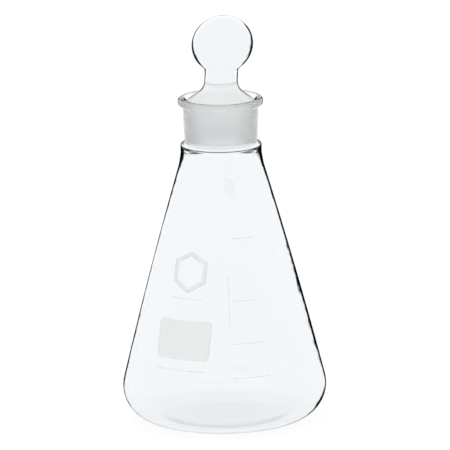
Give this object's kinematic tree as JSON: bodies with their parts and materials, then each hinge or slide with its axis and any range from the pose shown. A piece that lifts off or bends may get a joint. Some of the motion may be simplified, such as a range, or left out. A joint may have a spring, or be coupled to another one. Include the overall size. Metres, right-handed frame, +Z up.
{
  "type": "erlenmeyer flask",
  "caption": "Conical glass flask with a ground-glass neck, a hollow globe stopper that lifts out, and fired white scale lines and marking patch.",
  "frame": {"origin": "centre of the resting ring, on the bench", "axes": "+Z up the flask's axis, -Y the front, between the marking patch and the scale lines"},
  "size_m": [0.1032, 0.1032, 0.2071],
  "materials": {
    "clear_glass": "clear, fire-polished borosilicate",
    "ground_glass": "clear outside, ground matte in the bore",
    "stopper_glass": "clear globe and stem, ground matte cone",
    "enamel": "fired white enamel, satin"
  },
  "bodies": {
    "flask": {"flask_body": "clear_glass", "neck_socket": "ground_glass", "writing_patch": "enamel", "batch_row": "enamel", "maker_mark": "enamel", "mark_underline": "enamel", "side_column": "enamel", "scale_line_200": "enamel", "scale_line_300": "enamel", "scale_line_400": "enamel", "scale_line_500": "enamel"},
    "stopper": {"stopper": "stopper_glass"}
  },
  "joints": [
    {"name": "stopper_lift", "type": "slide", "parent": "flask", "child": "stopper", "axis": [0, 0, 1], "range_m": [0, 0.055]}
  ]
}
